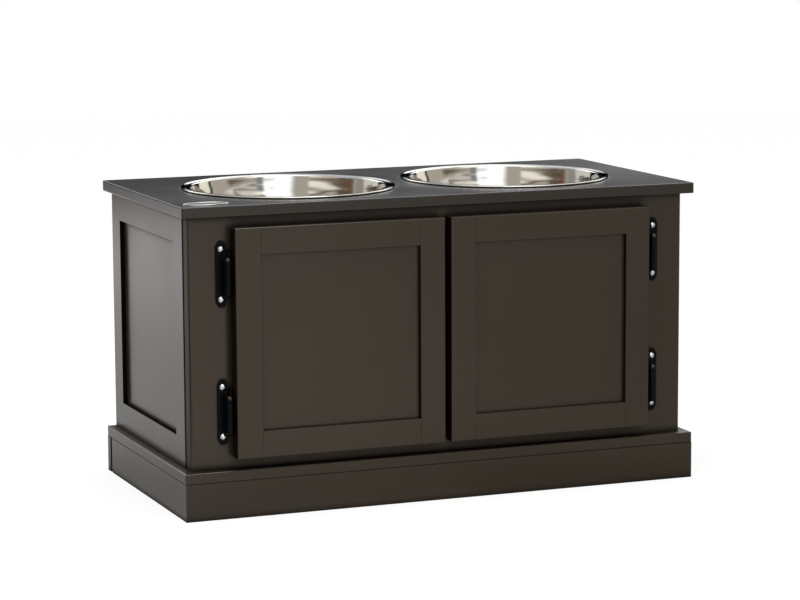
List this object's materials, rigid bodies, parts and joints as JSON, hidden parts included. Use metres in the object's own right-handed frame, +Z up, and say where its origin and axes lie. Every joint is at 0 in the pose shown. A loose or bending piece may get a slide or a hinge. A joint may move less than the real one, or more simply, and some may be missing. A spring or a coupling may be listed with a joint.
{
  "type": "elevated dog feeder with storage",
  "caption": "Raised dog feeder: dark painted cupboard with framed doors on face-mounted hinges, a plinth, and lift-out steel bowls hung in its top.",
  "frame": {"origin": "on the floor, at the middle of the whole footprint, closed doors included", "axes": "+X to the right seen from the front, +Y to the back, +Z up; the doors face -Y"},
  "size_m": [0.6, 0.3038, 0.3383],
  "materials": {
    "painted_board": "satin",
    "bare_wood": "matte",
    "black_metal": "satin",
    "bright_screws": "polished",
    "zinc_plate": "satin",
    "badge_metal": "satin",
    "polished_steel": "polished",
    "catch_plastic": "matte",
    "magnet": "matte"
  },
  "bodies": {
    "cabinet": {"top_board": "painted_board", "base_slab": "painted_board", "plinth_front": "painted_board", "plinth_left": "painted_board", "plinth_right": "painted_board", "plinth_rear": "painted_board", "plinth_corner_blocks": "bare_wood", "plinth_screws": "bright_screws", "frame_left_stile": "painted_board", "frame_right_stile": "painted_board", "frame_top_rail": "painted_board", "frame_bottom_rail": "painted_board", "frame_dowels": "bare_wood", "left_side_front_stile": "painted_board", "left_side_rear_stile": "painted_board", "left_side_top_rail": "painted_board", "left_side_bottom_rail": "painted_board", "left_side_panel": "painted_board", "right_side_front_stile": "painted_board", "right_side_rear_stile": "painted_board", "right_side_top_rail": "painted_board", "right_side_bottom_rail": "painted_board", "right_side_panel": "painted_board", "back_panel": "painted_board", "back_panel_screws": "bright_screws", "left_cleat": "bare_wood", "right_cleat": "bare_wood", "cleat_screws": "bright_screws", "base_screws": "bright_screws", "left_hinge_frame_leaves": "black_metal", "left_hinge_pins": "black_metal", "right_hinge_frame_leaves": "black_metal", "right_hinge_pins": "black_metal", "hinge_frame_screws": "bright_screws", "catch_housings": "catch_plastic", "catch_magnets": "magnet", "catch_screws": "bright_screws", "badge": "badge_metal"},
    "left_door": {"left_door_hinge_stile": "painted_board", "left_door_meeting_stile": "painted_board", "left_door_top_rail": "painted_board", "left_door_bottom_rail": "painted_board", "left_door_panel": "painted_board", "left_hinge_door_leaves": "black_metal", "left_hinge_door_screws": "bright_screws", "left_strike_plate": "zinc_plate", "left_strike_screw": "bright_screws"},
    "right_door": {"right_door_hinge_stile": "painted_board", "right_door_meeting_stile": "painted_board", "right_door_top_rail": "painted_board", "right_door_bottom_rail": "painted_board", "right_door_panel": "painted_board", "right_hinge_door_leaves": "black_metal", "right_hinge_door_screws": "bright_screws", "right_strike_plate": "zinc_plate", "right_strike_screw": "bright_screws"},
    "left_bowl": {"left_bowl": "polished_steel"},
    "right_bowl": {"right_bowl": "polished_steel"}
  },
  "joints": [
    {"name": "left_door_hinge", "type": "hinge", "parent": "cabinet", "child": "left_door", "pos_m": [-0.2498, -0.1469, 0.188], "axis": [0, 0, -1], "range_deg": [0, 170]},
    {"name": "right_door_hinge", "type": "hinge", "parent": "cabinet", "child": "right_door", "pos_m": [0.2498, -0.1469, 0.188], "axis": [0, 0, 1], "range_deg": [0, 170]},
    {"name": "left_bowl_lift", "type": "slide", "parent": "cabinet", "child": "left_bowl", "axis": [0, 0, 1], "range_m": [0, 0.1]},
    {"name": "right_bowl_lift", "type": "slide", "parent": "cabinet", "child": "right_bowl", "axis": [0, 0, 1], "range_m": [0, 0.1]}
  ]
}
